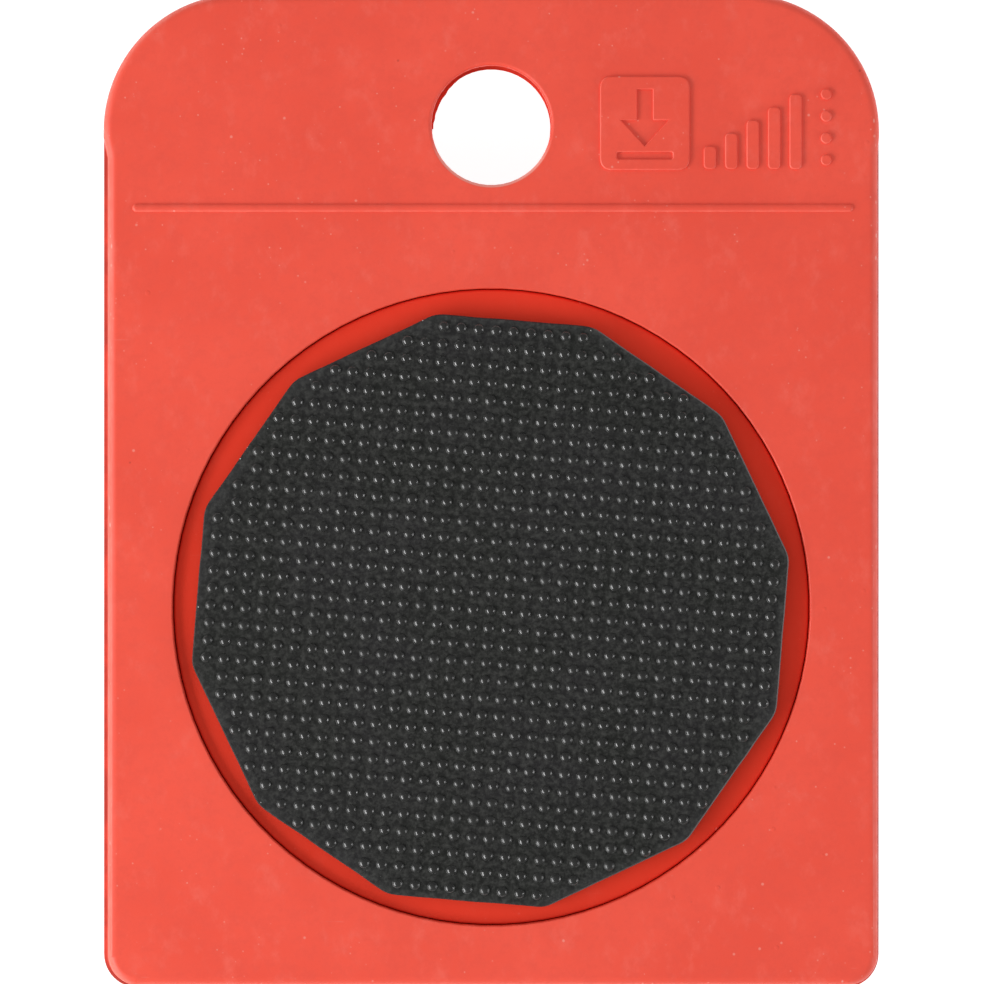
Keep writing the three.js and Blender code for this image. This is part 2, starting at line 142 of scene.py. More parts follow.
# The pad
PAD_SIDES = 12
PAD_TURN = math.radians(-4.75)
PAD_CORNER_ROUND = 0.8 * MM
PAD_STRETCH = Vector((1.005, 0.998))  # cut by hand, so not quite regular
PAD_OFFSET = Vector((-0.09, -0.33)) * MM  # glued on a little off the middle of the disc
PAD_EDGE_CHAMFER = 0.12 * MM
PAD_EDGE_WOBBLE = 0.05 * MM
PAD_WOBBLE_LENGTH = 2.5 * MM
PAD_WOBBLE_BIAS = 0.4  # inwards, so that the wobble hardly passes the outline
DOT_PITCH = 1.75 * MM
DOT_RADIUS = 0.56 * MM
DOT_HEIGHT = 0.34 * MM
DOT_MARGIN = 0.75 * MM  # middle of a dot to the pad's edge
DOT_STRAY = 0.02 * MM
DOT_SEED = 7
DOT_SIDES = 14
DOT_RINGS = 4

DISC_RIM_GROWTH = 0.23 * MM  # the disc nearly fills its well

# The wheels
TREAD_THICKNESS = 1.49 * MM
TREAD_SHOULDER = 1 * MM
GROOVE_DEPTH = 0.35 * MM
GROOVE_WIDTH = 0.7 * MM
GROOVE_SPACING = 2.6 * MM
CORE_CLEARANCE = 0.05 * MM  # under the tread
CORE_RIM = 1.3 * MM
CORE_HUB_RADIUS = 4.6 * MM
CORE_BORE_RADIUS = 2.1 * MM
CORE_DISH = 2 * MM
CORE_EDGE_ROUND = 0.25 * MM
WHEEL_SEGMENTS = 96

SMALL_EDGE_ROUND = 0.12 * MM  # on the washer and the clips
SHARP_ANGLE = math.radians(35)
NARROW_ANGLE = math.radians(12)  # corners narrower than this get no round
FLAT_ANGLE = math.radians(0.5)  # faces that differ by less are joined
NODE_FLAT_ANGLE = math.radians(1)
WELD_DISTANCE = 1e-6
TOLERANCE = 0.01 * MM

plate_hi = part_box("base_plate")[1]
deck_z = plate_hi.z - LINE_HEIGHT
disc_lo, disc_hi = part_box("turntable_disc")
turntable_centre = ((disc_lo + disc_hi) / 2).xy
pad_lo, pad_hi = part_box("grip_pad")
pad_radius = max((v.co.xy - turntable_centre).length for v in nodes["grip_pad"].data.vertices)
hole_centre = Vector((0, plate_hi.y - HOLE_TO_TAB_END))


# Shader helpers: an input given as a socket is linked, anything else is written into it

def put(tree, node, key, value):
    if isinstance(value, bpy.types.NodeSocket):
        tree.links.new(value, node.inputs[key])
    else:
        node.inputs[key].default_value = value


def shader_node(tree, kind, inputs, **settings):
    node = tree.nodes.new("ShaderNode" + kind)
    for name, value in settings.items():
        setattr(node, name, value)
    for key, value in inputs.items():
        put(tree, node, key, value)
    return node


def object_place(tree):
    return shader_node(tree, "TexCoord", {}).outputs["Object"]


def split(tree, vector):
    return shader_node(tree, "SeparateXYZ", {"Vector": vector}).outputs


def from_axis(tree, place, centre):
    """Distance from the upright line through a point of the plate."""
    flat = shader_node(tree, "VectorMath", {0: place, 1: (1, 1, 0)}, operation="MULTIPLY").outputs[0]
    there = (centre.x, centre.y, 0)
    return shader_node(tree, "VectorMath", {0: flat, 1: there}, operation="DISTANCE").outputs["Value"]


def noise_of(tree, place, size, detail=3.0, roughness=0.5):
    inputs = {"Vector": place, "Scale": 1 / size, "Detail": detail, "Roughness": roughness}
    return shader_node(tree, "TexNoise", inputs).outputs[0]


def stretched(tree, place, turn, scale):
    inputs = {"Vector": place, "Rotation": (0, 0, turn), "Scale": scale}
    return shader_node(tree, "Mapping", inputs).outputs[0]


def graded(tree, value, low, high, to_low=0.0, to_high=1.0):
    inputs = {"Value": value, "From Min": low, "From Max": high, "To Min": to_low, "To Max": to_high}
    return shader_node(tree, "MapRange", inputs, interpolation_type="SMOOTHSTEP").outputs[0]


def calculated(tree, operation, a, b):
    return shader_node(tree, "Math", {0: a, 1: b}, operation=operation).outputs[0]


def product(tree, first, *others):
    for other in others:
        first = calculated(tree, "MULTIPLY", first, other)
    return first


def larger(tree, a, b):
    return calculated(tree, "MAXIMUM", a, b)


def by_depth(tree, at, start, end, to_low=0.0, to_high=1.0):
    """Graded by how far a point lies under the deck's face."""
    return graded(tree, at["Z"], deck_z - start, deck_z - end, to_low, to_high)


def mixed(tree, factor, a, b):
    node = shader_node(tree, "Mix", {0: factor}, data_type="RGBA")
    put(tree, node, 6, a)
    put(tree, node, 7, b)
    return node.outputs[2]


def specks(tree, place, spacing, size, portion):
    """Small round marks, at random, in that portion of cells as wide as the spacing."""
    cells = shader_node(tree, "TexVoronoi", {"Vector": place, "Scale": 1 / spacing})
    ratio = size / spacing
    near = graded(tree, cells.outputs["Distance"], ratio, 0.4 * ratio)
    chance = shader_node(tree, "SeparateColor", {"Color": cells.outputs["Color"]}).outputs[0]
    return product(tree, near, calculated(tree, "LESS_THAN", chance, portion))


def bumped(tree, height, distance, strength=1.0, normal=None):
    inputs = {"Height": height, "Distance": distance, "Strength": strength}
    if normal is not None:
        inputs["Normal"] = normal
    return shader_node(tree, "Bump", inputs).outputs[0]


def material(name):
    made = bpy.data.materials.new(name)
    made.use_nodes = True
    tree = made.node_tree
    return made, tree, tree.nodes["Principled BSDF"]


def colour(red, green, blue):
    return (red, green, blue, 1.0)


# Materials, the red plastic first, layer by layer

def clouded_red(tree, place, mottle, pale):
    """Faintly clouded red, darker where it is mottled and paler in soft streaks."""
    clouds = graded(tree, noise_of(tree, place, 16 * MM, 3.0, 0.55), 0.3, 0.7)
    base = mixed(tree, clouds, colour(0.89, 0.081, 0.045), colour(0.95, 0.095, 0.055))
    base = mixed(tree, graded(tree, mottle, 0.4, 0.7, 0, 0.35), base, colour(0.80, 0.066, 0.036))
    return mixed(tree, graded(tree, pale, 0.5, 0.75, 0, 0.45), base, colour(0.95, 0.16, 0.115))


def marked(tree, place, worn, base):
    """Dust, hairline scratches and dark specks, with the finest dust only where the plastic is worn."""
    dust = specks(tree, place, 2.4 * MM, 0.2 * MM, 0.35)
    fine_dust = product(tree, specks(tree, place, 0.9 * MM, 0.12 * MM, 0.5), worn)
    hair = noise_of(tree, stretched(tree, place, 0.9, (1, 16, 1)), 6 * MM, 2.0)
    scratch = graded(tree, hair, 0.75, 0.8, 0, 0.6)
    marks = larger(tree, larger(tree, dust, fine_dust), scratch)
    base = mixed(tree, product(tree, marks, 0.5), base, colour(0.95, 0.36, 0.29))
    grime = specks(tree, place, 3.3 * MM, 0.18 * MM, 0.22)
    return mixed(tree, product(tree, grime, 0.5), base, colour(0.42, 0.03, 0.02))


def hollows(tree, place, at, to_hole):
    """1 in the well and the bore, and the share of it that lies deep enough to get painted shade."""
    to_turntable = from_axis(tree, place, turntable_centre)
    well = graded(tree, to_turntable, WELL_RADIUS + 0.5 * MM, WELL_RADIUS + 0.2 * MM)
    bore = graded(tree, to_hole, HOLE_RADIUS + 0.5 * MM, HOLE_RADIUS + 0.2 * MM)
    inside = larger(tree, well, bore)
    below = by_depth(tree, at, 0.3 * MM, 0.7 * MM, 0, 0.8)
    above = by_depth(tree, at, TAB_THICKNESS, 0.9 * TAB_THICKNESS)
    return inside, product(tree, inside, below, above)


def lit_edge_highlight(tree, at, facing, inside, pale, base):
    """Painted highlight: paler rounds, in patches, on the plate's left side, and on the left and near sides
    of what stands on the deck, which face the key lamp.
    """
    rounds = graded(tree, facing["Z"], 0.99, 0.72, 0, 0.33)
    left = graded(tree, facing["X"], -0.05, -0.35, 0.12, 1)
    near = graded(tree, facing["Y"], -0.05, -0.35, 0.12, 1)
    proud = product(tree, by_depth(tree, at, 0, -0.05 * MM), larger(tree, left, near))
    outside = product(tree, calculated(tree, "SUBTRACT", 1.0, inside), left)
    high = by_depth(tree, at, 1.1 * MM, 0.8 * MM)
    patchy = graded(tree, pale, 0.35, 0.6, 0.5, 1)
    edge_highlight = product(tree, rounds, larger(tree, proud, outside), high, patchy)
    return mixed(tree, edge_highlight, base, colour(0.95, 0.30, 0.235))


def hole_rim_highlight(tree, at, to_hole, base):
    """Painted highlight: a pale line along the near side of the hole's rim."""
    rim = graded(tree, to_hole, HOLE_RADIUS + HOLE_ROUND, HOLE_RADIUS + 0.5 * HOLE_ROUND)
    near = graded(tree, at["Y"], hole_centre.y - 1 * MM, hole_centre.y - 4 * MM)
    high = by_depth(tree, at, 0.5 * MM, 0.3 * MM, 0, 0.6)
    return mixed(tree, product(tree, rim, near, high), base, colour(0.95, 0.5, 0.43))


def shaded_skirt_strip(tree, place, at, base):
    """Painted shade: patchy darkening on the strip of the skirt that shows beside the deck."""
    strip = product(tree, by_depth(tree, at, 0.95 * MM, 1.05 * MM), by_depth(tree, at, 4 * MM, 2.5 * MM))
    strip_shade = graded(tree, noise_of(tree, place, 4 * MM, 4.0, 0.7), 0.35, 0.65, 0.15, 0.75)
    return mixed(tree, product(tree, strip, strip_shade), base, colour(0.50, 0.045, 0.028))


def nicked_edges(tree, place, at, facing, worn, base):
    """Small pale nicks on the upper edges."""
    nicks = specks(tree, stretched(tree, place, 0, (1, 0.5, 1)), 0.8 * MM, 0.15 * MM, 0.4)
    edges = graded(tree, facing["Z"], 0.995, 0.9)
    high = by_depth(tree, at, 1.4 * MM, 0.9 * MM, 0, 0.4)
    return mixed(tree, product(tree, nicks, edges, high, worn), base, colour(0.95, 0.62, 0.55))


def red_plastic():
    """Satin moulded plastic, with painted shade (a deeper red) in the hollows and on the skirt's strip,
    painted highlights on the rounds that face the lamps and along the hole's near rim, and worn nicks on its
    edges.
    """
    made, tree, surface = material("red_plastic")
    place = object_place(tree)
    at = split(tree, place)
    facing = split(tree, shader_node(tree, "NewGeometry", {}).outputs["Normal"])
    mottle = noise_of(tree, place, 1.3 * MM, 6.0, 0.7)
    pale = noise_of(tree, stretched(tree, place, 0.9, (1, 0.7, 1)), 3 * MM, 6.0, 0.75)
    worn = graded(tree, noise_of(tree, place, 11 * MM, 3.0), 0.42, 0.62)
    to_hole = from_axis(tree, place, hole_centre)
    inside, hollow_shade = hollows(tree, place, at, to_hole)
    base = clouded_red(tree, place, mottle, pale)
    base = marked(tree, place, worn, base)
    # Painted shade: a deeper, darker red in the well and the bore, below the deck's face.
    base = mixed(tree, hollow_shade, base, colour(0.85, 0.046, 0.023))
    # Painted highlight: paler rounds on the sides that face the lamps.
    base = lit_edge_highlight(tree, at, facing, inside, pale, base)
    # Painted highlight along the near side of the hole's rim.
    base = hole_rim_highlight(tree, at, to_hole, base)
    # Painted shade, in patches, on the skirt's strip below the deck.
    base = shaded_skirt_strip(tree, place, at, base)
    base = nicked_edges(tree, place, at, facing, worn, base)
    put(tree, surface, "Base Color", base)
    put(tree, surface, "Specular IOR Level", graded(tree, hollow_shade, 0, 0.8, 0.5, 0.0))
    put(tree, surface, "Roughness", graded(tree, mottle, 0.3, 0.75, 0.34, 0.52))
    swell = bumped(tree, noise_of(tree, place, 6 * MM, 2.0), 0.06 * MM, 0.4)
    pimples = bumped(tree, specks(tree, place, 4.5 * MM, 0.3 * MM, 0.45), 0.05 * MM, 0.7, swell)
    grain = noise_of(tree, place, 0.35 * MM, 3.0, 0.6)
    put(tree, surface, "Normal", bumped(tree, grain, 0.012 * MM, 0.6, pimples))
    return made


def pad_rubber():
    """Black rubber: a matt sheet with a fine leathery grain, smoother dots, and a cut edge with pale fibres
    and a painted highlight on its sides that face +X.
    """
    made, tree, surface = material("pad_rubber")
    place = object_place(tree)
    at = split(tree, place)
    facing = split(tree, shader_node(tree, "TexCoord", {}).outputs["Normal"])
    on_dot = graded(tree, at["Z"], pad_hi.z - DOT_HEIGHT, pad_hi.z - 0.6 * DOT_HEIGHT)
    clouds = graded(tree, noise_of(tree, place, 9 * MM, 4.0, 0.6), 0.35, 0.7)
    base = mixed(tree, clouds, colour(0.011, 0.012, 0.010), colour(0.015, 0.014, 0.015))
    grain = noise_of(tree, place, 0.6 * MM, 5.0, 0.75)
    base = mixed(tree, graded(tree, grain, 0.38, 0.72, 0, 0.7), base, colour(0.060, 0.061, 0.056))
    base = mixed(tree, product(tree, on_dot, 0.7), base, colour(0.024, 0.024, 0.023))
    edge = shader_node(tree, "Attribute", {}, attribute_name="cut_edge").outputs["Fac"]
    fibres = specks(tree, place, 0.7 * MM, 0.09 * MM, 0.25)
    base = mixed(tree, product(tree, edge, fibres), base, colour(0.6, 0.6, 0.58))
    # Painted highlight on the cut edge where it faces +X, towards the fill lamp.
    edge_glint = product(tree, edge, graded(tree, facing["X"], 0.1, 0.5, 0.05, 0.6))
    base = mixed(tree, edge_glint, base, colour(0.22, 0.22, 0.225))
    put(tree, surface, "Base Color", base)
    sheet_rough = graded(tree, grain, 0.3, 0.7, 0.5, 0.68)
    patches = graded(tree, noise_of(tree, place, 5 * MM, 3.0, 0.6), 0.35, 0.65, 0.19, 0.36)
    far_end = graded(tree, at["Y"], turntable_centre.y + 10 * MM, turntable_centre.y + 26 * MM, 0, 0.08)
    dot_rough = calculated(tree, "SUBTRACT", patches, far_end)
    rough = shader_node(tree, "Mix", {0: on_dot, 2: sheet_rough, 3: dot_rough}).outputs[0]
    put(tree, surface, "Roughness", rough)
    put(tree, surface, "Specular IOR Level", graded(tree, on_dot, 0, 1, 0.38, 1.0))
    height = product(tree, grain, graded(tree, on_dot, 0, 1, 1, 0.25))
    put(tree, surface, "Normal", bumped(tree, height, 0.06 * MM, 0.8))
    return made


def tyre_rubber():
    """Grey soft tread with a fine grain and a little dust."""
    made, tree, surface = material("tyre_rubber")
    place = object_place(tree)
    grain = noise_of(tree, place, 0.5 * MM, 4.0, 0.65)
    clouds = graded(tree, noise_of(tree, place, 6 * MM, 3.0), 0.3, 0.7)
    base = mixed(tree, clouds, colour(0.055, 0.057, 0.06), colour(0.085, 0.086, 0.088))
    base = mixed(tree, specks(tree, place, 1.2 * MM, 0.12 * MM, 0.3), base, colour(0.25, 0.24, 0.22))
    put(tree, surface, "Base Color", base)
    put(tree, surface, "Roughness", graded(tree, grain, 0.3, 0.7, 0.62, 0.82))
    put(tree, surface, "Normal", bumped(tree, grain, 0.03 * MM, 0.5))
    return made


def wheel_plastic():
    """Black moulded nylon with slight flow clouds."""
    made, tree, surface = material("wheel_plastic")
    place = object_place(tree)
    clouds = noise_of(tree, place, 4 * MM, 4.0, 0.6)
    cloudy = graded(tree, clouds, 0.35, 0.7)
    base = mixed(tree, cloudy, colour(0.015, 0.015, 0.016), colour(0.026, 0.026, 0.028))
    put(tree, surface, "Base Color", base)
    put(tree, surface, "Roughness", graded(tree, clouds, 0.3, 0.7, 0.34, 0.5))
    put(tree, surface, "Normal", bumped(tree, noise_of(tree, place, 0.3 * MM), 0.008 * MM, 0.5))
    return made


def zinc_steel():
    """Zinc-plated steel: cool grey with a faint spangle and fine drawn lines."""
    made, tree, surface = material("steel")
    place = object_place(tree)
    spangle = noise_of(tree, place, 2.2 * MM, 4.0, 0.6)
    base = mixed(tree, graded(tree, spangle, 0.35, 0.7), colour(0.55, 0.56, 0.58), colour(0.68, 0.68, 0.67))
    put(tree, surface, "Base Color", base)
    put(tree, surface, "Metallic", 1.0)
    lines = noise_of(tree, stretched(tree, place, 0.0, (1, 12, 12)), 1.5 * MM, 3.0)
    put(tree, surface, "Roughness", graded(tree, lines, 0.3, 0.7, 0.26, 0.42))
    put(tree, surface, "Normal", bumped(tree, lines, 0.006 * MM, 0.4))
    return made


def adhesive_film():
    """Pale double-sided film with a fibrous carrier."""
    made, tree, surface = material("adhesive_film")
    place = object_place(tree)
    fibre = noise_of(tree, stretched(tree, place, 0.6, (1, 6, 1)), 1.2 * MM, 4.0)
    base = mixed(tree, graded(tree, fibre, 0.35, 0.7), colour(0.40, 0.38, 0.31), colour(0.54, 0.52, 0.44))
    put(tree, surface, "Base Color", base)
    put(tree, surface, "Roughness", graded(tree, fibre, 0.3, 0.7, 0.55, 0.75))
    put(tree, surface, "Normal", bumped(tree, fibre, 0.01 * MM, 0.5))
    return made


finishes = {
    "red_plastic": red_plastic(),
    "pad_rubber": pad_rubber(),
    "tyre_rubber": tyre_rubber(),
    "wheel_plastic": wheel_plastic(),
    "steel": zinc_steel(),
    "adhesive_film": adhesive_film(),
}


# Mesh helpers

def piece(name, mesh, slot, body, *replaced):
    """A new object of that mesh, in the finish of its slot, that rides on a body and stands for CAD nodes."""
    made = bpy.data.objects.new(name, mesh)
    bpy.context.scene.collection.objects.link(made)
    mesh.materials.clear()
    mesh.materials.append(finishes[slot])
    mesh.shade_smooth()
    mesh.set_sharp_from_angle(angle=SHARP_ANGLE)
    weighted = made.modifiers.new("even_normals", "WEIGHTED_NORMAL")
    weighted.keep_sharp = True
    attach(made, body)
    if replaced:
        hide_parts(*replaced)
    return made


def mesh_of(name, vertices, faces):
    mesh = bpy.data.meshes.new(name)
    mesh.from_pydata(vertices, [], faces)
    mesh.validate()
    return mesh


def closed_mesh(name, vertices, faces):
    """A mesh with doubled points joined and all faces turned outwards."""
    shape = bmesh.new()
    loose = mesh_of(name, vertices, faces)
    shape.from_mesh(loose)
    bpy.data.meshes.remove(loose)
    bmesh.ops.remove_doubles(shape, verts=shape.verts, dist=WELD_DISTANCE)
    bmesh.ops.recalc_face_normals(shape, faces=shape.faces)
    return mesh_from(name, shape)


def mesh_from(name, shape):
    mesh = bpy.data.meshes.new(name)
    shape.to_mesh(mesh)
    shape.free()
    return mesh


def rounded_profile(points, radius, steps=3):
    """A closed outline with each corner replaced by a short arc that starts and ends that far from it."""
    rounded = []
    for i, corner in enumerate(points):
        corner = Vector(corner)
        before = Vector(points[i - 1]) - corner
        after = Vector(points[(i + 1) % len(points)]) - corner
        reach = min(radius, 0.45 * before.length, 0.45 * after.length)
        start = corner + before.normalized() * reach
        end = corner + after.normalized() * reach
        for step in range(steps + 1):
            t = step / steps
            rounded.append((1 - t) ** 2 * start + 2 * t * (1 - t) * corner + t ** 2 * end)
    return rounded


def turned_along_x(name, profile, centre, segments):
    """A ring turned round an axis along X, from a closed outline of (radius, along) points."""
    vertices = []
    faces = []
    count = len(profile)
    for i in range(segments):
        angle = 2 * math.pi * i / segments
        for radius, along in profile:
            y = radius * math.cos(angle)
            z = radius * math.sin(angle)
            vertices.append(centre + Vector((along, y, z)))
        following = (i + 1) % segments
        for j in range(count):
            k = (j + 1) % count
            faces.append((i * count + j, i * count + k, following * count + k, following * count + j))
    return closed_mesh(name, vertices, faces)


def soften_node(name, edge_round):
    """Finish, small edge rounds and even shading on a CAD node, by its material slot and modifiers."""
    node = nodes[name]
    slot = next(s["material_slot"] for s in frame["record"]["subparts"] if s["node"] == name)
    node.material_slots[0].material = finishes[slot]
    weld = node.modifiers.new("weld", "WELD")
    weld.merge_threshold = WELD_DISTANCE
    flat = node.modifiers.new("flat_faces", "DECIMATE")
    flat.decimate_type = "DISSOLVE"
    flat.angle_limit = NODE_FLAT_ANGLE
    if edge_round:
        rounds = node.modifiers.new("edge_rounds", "BEVEL")
        rounds.width = edge_round
        rounds.segments = 2
        rounds.limit_method = "ANGLE"
        rounds.angle_limit = SHARP_ANGLE
        rounds.use_clamp_overlap = False
    even = node.modifiers.new("even_normals", "WEIGHTED_NORMAL")
    even.keep_sharp = True


# The plate: the CAD shell without its line, with its coplanar faces joined and its longer edges rounded

def share(value, start, end):
    return min(max((value - start) / (end - start), 0), 1)


def deck_shift(place):
    """How far a point of the deck's two long edges is moved: nothing on the tab or below their rounds."""
    to_side = plate_hi.x - abs(place.x)
    if place.z < deck_z - 1.02 * DECK_ROUND or to_side < SKIRT_STRIP:
        return 0
    return DECK_SHIFT * share(to_side, *SHIFT_FADE) * share(plate_hi.y - place.y, *SHOULDER_TO_TAB_END)


def on_hole_rim(place):
    return place.z > deck_z - TOLERANCE and (place.xy - hole_centre).length < HOLE_RADIUS + TOLERANCE


def has_room(vertex):
    """Whether every edge at a point is long enough for a round."""
    return all(edge.calc_length() > 2.5 * PLATE_EDGE_ROUND for edge in vertex.link_edges)


def splayed(edge):
    """Whether an edge makes no narrow corner with another."""
    for vertex in edge.verts:
        along = edge.other_vert(vertex).co - vertex.co
        for other in vertex.link_edges:
            if other is not edge and along.angle(other.other_vert(vertex).co - vertex.co) < NARROW_ANGLE:
                return False
    return True


def takes_round(edge):
    if not edge.is_manifold or edge.calc_face_angle() <= SHARP_ANGLE:
        return False
    return all(has_room(vertex) for vertex in edge.verts) and splayed(edge)


def plate_shell():
    shape = bmesh.new()
    shape.from_mesh(nodes["base_plate"].data)
    for vertex in shape.verts:
        vertex.co.z = min(vertex.co.z, deck_z)
        vertex.co.x += deck_shift(vertex.co)
    bmesh.ops.remove_doubles(shape, verts=shape.verts, dist=WELD_DISTANCE)
    bmesh.ops.dissolve_degenerate(shape, edges=shape.edges, dist=WELD_DISTANCE)
    bmesh.ops.dissolve_limit(shape, angle_limit=FLAT_ANGLE, verts=shape.verts, edges=shape.edges)
    rounded = [edge for edge in shape.edges if takes_round(edge)]
    rim = [edge for edge in rounded if all(on_hole_rim(vertex.co) for vertex in edge.verts)]
    others = [edge for edge in rounded if edge not in rim]
    settings = {"profile": 0.5, "affect": "EDGES", "clamp_overlap": False}
    bmesh.ops.bevel(shape, geom=others, offset=PLATE_EDGE_ROUND, segments=2, **settings)
    bmesh.ops.bevel(shape, geom=rim, offset=HOLE_ROUND, segments=4, **settings)
    return piece("plate_shell", mesh_from("plate_shell", shape), "red_plastic", "base", "base_plate")


def raised_line():
    """The raised line across the plate, as a soft bead."""
    radius = LINE_WIDTH / 2
    half = plate_hi.x - LINE_END_TO_SIDE - radius
    y = plate_hi.y - LINE_TO_TAB_END
    across = 12
    stations = 90
    end_steps = 6
    places = [-half - radius * math.cos(0.5 * math.pi * i / end_steps) for i in range(end_steps)]
    places += [-half + 2 * half * i / stations for i in range(stations + 1)]
    places += [half + radius * math.sin(0.5 * math.pi * (i + 1) / end_steps) for i in range(end_steps)]
    vertices = []
    for x in places:
        beyond = max(abs(x) - half, 0) / radius
        round_end = math.sqrt(max(1 - beyond ** 2, 0.0))
        wobble = 1 + LINE_WOBBLE * noise.noise(Vector((x, 0, 0)) / LINE_WOBBLE_LENGTH)
        for j in range(across + 1):
            angle = math.pi * j / across
            aside = radius * round_end * math.cos(angle)
            lift = LINE_FULLNESS * math.sin(angle) * LINE_HEIGHT * wobble * round_end
            vertices.append((x + DECK_SHIFT, y - aside, deck_z + lift - LINE_SINK))
    row = across + 1
    faces = []
    for i in range(len(places) - 1):
        for j in range(across):
            faces.append((i * row + j, (i + 1) * row + j, (i + 1) * row + j + 1, i * row + j + 1))
        faces.append((i * row + across, (i + 1) * row + across, (i + 1) * row, i * row))
    return piece("raised_line", closed_mesh("raised_line", vertices, faces), "red_plastic", "base")


def flash_section(angle):
    """The flash's section at an angle round the hole, as four (radius, height) points."""
    everywhere, more = FLASH_SHARES
    wide = math.exp(-((math.degrees(angle) - FLASH_WIDEST) / FLASH_SPREAD) ** 2)
    place = Vector((math.cos(angle), math.sin(angle), 0)) * FLASH_RAGGED_SCALE
    ragged = 1 + FLASH_RAGGEDNESS * noise.noise(place)
    tip = HOLE_RADIUS - FLASH_REACH * ragged * (everywhere + more * wide)
    root = HOLE_RADIUS + FLASH_ROOT
    return [(r, lift * FLASH_THICKNESS) for r, lift in ((root, 0.5), (tip, 0.1), (tip, -0.1), (root, -0.5))]


def hole_flash():
    """Thin moulding flash round the hole's lower rim, wider on the upper left and broken off on the left."""
    start = FLASH_GAP[1]
    end = FLASH_GAP[0] + 360
    middle_z = deck_z - 0.8 * TAB_THICKNESS
    vertices = []
    for i in range(FLASH_STEPS + 1):
        angle = math.radians(start + (end - start) * i / FLASH_STEPS)
        for radius, lift in flash_section(angle):
            at = hole_centre + Vector((math.cos(angle), math.sin(angle))) * radius
            vertices.append((at.x, at.y, middle_z + lift))
    last = 4 * FLASH_STEPS
    faces = [(0, 1, 2, 3), (last + 3, last + 2, last + 1, last)]
    for i in range(FLASH_STEPS):
        for k in range(4):
            n = (k + 1) % 4
            faces.append((4 * i + k, 4 * i + n, 4 * i + 4 + n, 4 * i + 4 + k))
    return piece("hole_flash", closed_mesh("hole_flash", vertices, faces), "red_plastic", "base")


def box_outline(left, right, near, far, corner):
    points = [(left, near), (right, near), (right, far), (left, far)]
    return rounded_profile([Vector(p) * MM for p in points], corner * MM, SIGN_CORNER_STEPS)


def disc_outline(x, y, radius):
    angles = [2 * math.pi * i / SIGN_DOT_SIDES for i in range(SIGN_DOT_SIDES)]
    return [Vector((x + radius * math.cos(a), y + radius * math.sin(a))) * MM for a in angles]


def raised_mark(name, outlines):
    """A flat mark moulded on the deck, with soft edges. Outlines inside others are holes in it."""
    curve = bpy.data.curves.new(name, "CURVE")
    curve.dimensions = "2D"
    curve.fill_mode = "BOTH"
    curve.extrude = SIGN_HEIGHT - SIGN_SOFTNESS
    curve.bevel_depth = SIGN_SOFTNESS
    curve.bevel_resolution = 2
    curve.offset = -SIGN_SOFTNESS
    for outline in outlines:
        spline = curve.splines.new("POLY")
        spline.points.add(len(outline) - 1)
        for point, place in zip(spline.points, outline):
            point.co = (place.x, place.y, 0, 1)
        spline.use_cyclic_u = True
    drawn = bpy.data.objects.new(name, curve)
    mesh = bpy.data.meshes.new_from_object(drawn)
    bpy.data.objects.remove(drawn)
    bpy.data.curves.remove(curve)
    for vertex in mesh.vertices:
        vertex.co.z += deck_z
    return piece(name, mesh, "red_plastic", "base")


def load_marks():
    """Plain signs: a plate with an arrow pressed down on a bar, five rising bars, and dots."""
    plate = box_outline(*SIGN_PLATE, SIGN_PLATE_CORNER)
    arrow = [Vector(point) * MM for point in SIGN_ARROW]
    foot = box_outline(*SIGN_FOOT, SIGN_FOOT_CORNER)
    raised_mark("mark_plate", [plate, arrow, foot])
    bars = []
    for i in range(BAR_COUNT):
        left = BAR_LEFT + BAR_PITCH * i
        bars.append(box_outline(left, left + BAR_WIDTH, BAR_NEAR, BAR_FAR + BAR_RISE * i, BAR_CORNER))
    raised_mark("mark_bars", bars)
    raised_mark("mark_dots", [disc_outline(SIGN_DOT_X, y, SIGN_DOT_RADIUS) for y in SIGN_DOT_YS])


plate_shell()
raised_line()
hole_flash()
load_marks()


# The pad: a sheet with domed dots in straight rows

def pad_corner(index):
    angle = PAD_TURN + math.pi * (2 * index + 1) / PAD_SIDES
    return Vector((PAD_STRETCH.x * math.cos(angle), PAD_STRETCH.y * math.sin(angle))) * pad_radius


def pad_outline():
    """The pad's cut edge round its own middle: soft corners, a slight wobble, and points about 1 mm apart."""
    corners = [pad_corner(i) for i in range(PAD_SIDES)]
    rough = rounded_profile(corners, PAD_CORNER_ROUND, 4)
    points = []
    for i, start in enumerate(rough):
        end = rough[(i + 1) % len(rough)]
        steps = max(1, round((end - start).length / MM))
        for step in range(steps):
            point = start.lerp(end, step / steps)
            wobble = noise.noise(point.to_3d() / PAD_WOBBLE_LENGTH) - PAD_WOBBLE_BIAS
            points.append(point * (1 + PAD_EDGE_WOBBLE * wobble / point.length))
    return points


def dot_places():
    """Middles of the dots that fit on the pad."""
    normals = [PAD_TURN + 2 * math.pi * i / PAD_SIDES for i in range(PAD_SIDES)]
    sides = [Vector((math.cos(a), math.sin(a))) for a in normals]
    room = pad_radius * math.cos(math.pi / PAD_SIDES) - DOT_MARGIN
    along = Vector((math.cos(PAD_TURN), math.sin(PAD_TURN)))
    across = Vector((-along.y, along.x))
    reach = math.ceil(pad_radius / DOT_PITCH)
    places = []
    for row in range(-reach, reach + 1):
        for column in range(-reach, reach + 1):
            place = (along * column + across * row) * DOT_PITCH
            if all(place.dot(side) <= room for side in sides):
                places.append(place)
    return places


def dot_ring(place, radius):
    """Points of a level circle round a dot's middle."""
    angles = [2 * math.pi * k / DOT_SIDES for k in range(DOT_SIDES)]
    return [place + Vector((math.cos(a), math.sin(a))) * radius for a in angles]


def strayed_dots(chance):
    """Middle and radius of each dot, both a little uneven."""
    dots = []
    for place in dot_places():
        radius = DOT_RADIUS * chance.uniform(0.95, 1.05)
        stray = Vector((chance.uniform(-1, 1), chance.uniform(-1, 1))) * DOT_STRAY
        dots.append((place + stray, radius))
    return dots


